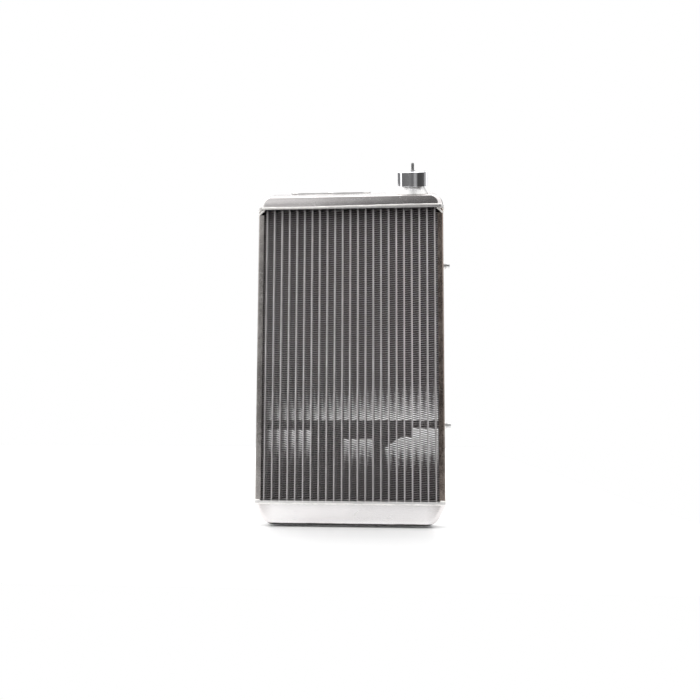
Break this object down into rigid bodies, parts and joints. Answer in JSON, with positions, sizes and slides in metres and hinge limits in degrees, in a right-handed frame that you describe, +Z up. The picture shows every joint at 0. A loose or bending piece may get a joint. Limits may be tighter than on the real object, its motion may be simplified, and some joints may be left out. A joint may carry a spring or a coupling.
{
  "type": "car radiator",
  "caption": "Small upright aluminium racing radiator with welded end tanks, a brazed tube-and-fin core and a fluted screw cap.",
  "frame": {"origin": "centre of the flat underside of the bottom tank", "axes": "+Z up along the tubes, +X across the width towards the filler cap, +Y out of the back of the core"},
  "size_m": [0.2509, 0.0767, 0.4697],
  "materials": {
    "tube_aluminium": "brazed, dull silver",
    "fin_aluminium": "thin folded sheet, dull",
    "plate_aluminium": "mill finish",
    "tank_aluminium": "brushed",
    "bracket_aluminium": "mill finish",
    "cap_metal": "polished",
    "screw_steel": "zinc plated",
    "seal_rubber": "matt black",
    "washer_copper": "bare copper"
  },
  "bodies": {
    "root": {"core_row_01": "tube_aluminium", "core_row_02": "tube_aluminium", "core_row_03": "tube_aluminium", "core_row_04": "tube_aluminium", "core_row_05": "tube_aluminium", "core_row_06": "tube_aluminium", "core_row_07": "tube_aluminium", "core_row_08": "tube_aluminium", "core_row_09": "tube_aluminium", "core_row_10": "tube_aluminium", "core_row_11": "tube_aluminium", "core_row_12": "tube_aluminium", "core_row_13": "tube_aluminium", "core_row_14": "tube_aluminium", "core_row_15": "tube_aluminium", "core_row_16": "tube_aluminium", "core_row_17": "tube_aluminium", "core_row_18": "tube_aluminium", "core_row_19": "tube_aluminium", "core_row_20": "tube_aluminium", "core_row_21": "tube_aluminium", "core_row_22": "tube_aluminium", "core_row_23": "tube_aluminium", "core_fin_last": "fin_aluminium", "top_header": "plate_aluminium", "bottom_header": "plate_aluminium", "side_plate_left": "plate_aluminium", "side_plate_right": "plate_aluminium", "top_tank": "tank_aluminium", "bottom_tank": "tank_aluminium", "filler_neck": "tank_aluminium", "inlet_pipe": "tank_aluminium", "outlet_pipe": "tank_aluminium", "drain_boss": "tank_aluminium", "sensor_boss": "tank_aluminium", "upper_side_boss": "tank_aluminium", "lower_side_boss": "tank_aluminium", "upper_rear_strap": "bracket_aluminium", "lower_rear_bracket": "bracket_aluminium", "rear_hanger": "bracket_aluminium", "sensor_plug": "screw_steel", "upper_side_washer": "screw_steel", "upper_side_screw": "screw_steel", "lower_side_washer": "screw_steel", "lower_side_screw": "screw_steel", "hanger_bush_left": "seal_rubber", "hanger_bush_right": "seal_rubber", "sensor_washer": "washer_copper"},
    "cap_carrier": {"cap_seal": "seal_rubber", "cap_spring_seat": "screw_steel", "cap_valve_spring": "screw_steel"},
    "cap": {"cap_shell": "cap_metal", "cap_vent_nipple": "cap_metal"},
    "pressure_valve": {"cap_pressure_valve": "screw_steel", "cap_valve_gasket": "seal_rubber"},
    "vacuum_valve": {"cap_vacuum_valve": "screw_steel"},
    "drain_washer": {"drain_washer": "washer_copper"},
    "drain_plug": {"drain_plug": "screw_steel"}
  },
  "joints": [
    {"name": "cap_lift", "type": "slide", "parent": "root", "child": "cap_carrier", "axis": [0, -0.3674, 0.9301], "range_m": [0, 0.006]},
    {"name": "cap_turn", "type": "hinge", "parent": "cap_carrier", "child": "cap", "pos_m": [0.0816, 0, 0.4325], "axis": [0, -0.3674, 0.9301], "range_deg": [0, 1080]},
    {"name": "pressure_valve_lift", "type": "slide", "parent": "cap_carrier", "child": "pressure_valve", "axis": [0, -0.3674, 0.9301], "range_m": [0, 0.0025], "stiffness_N_per_m": 800, "springref_m": -0.004, "deforming": ["cap_valve_spring"]},
    {"name": "vacuum_valve_drop", "type": "slide", "parent": "pressure_valve", "child": "vacuum_valve", "axis": [0, -0.3674, 0.9301], "range_m": [-0.0015, 0], "stiffness_N_per_m": 50, "springref_m": 0.002},
    {"name": "drain_plug_travel", "type": "slide", "parent": "root", "child": "drain_washer", "axis": [0, 1, 0], "range_m": [0, 0.00625]},
    {"name": "drain_plug_turn", "type": "hinge", "parent": "drain_washer", "child": "drain_plug", "pos_m": [0.06, 0.02, 0.0135], "axis": [0, 1, 0], "range_deg": [0, 1800]}
  ],
  "couplings": [
    {"joint": "cap_lift", "follows": "cap_turn", "m_per_rad": 0.0003183},
    {"joint": "drain_plug_travel", "follows": "drain_plug_turn", "m_per_rad": 0.00019894}
  ]
}
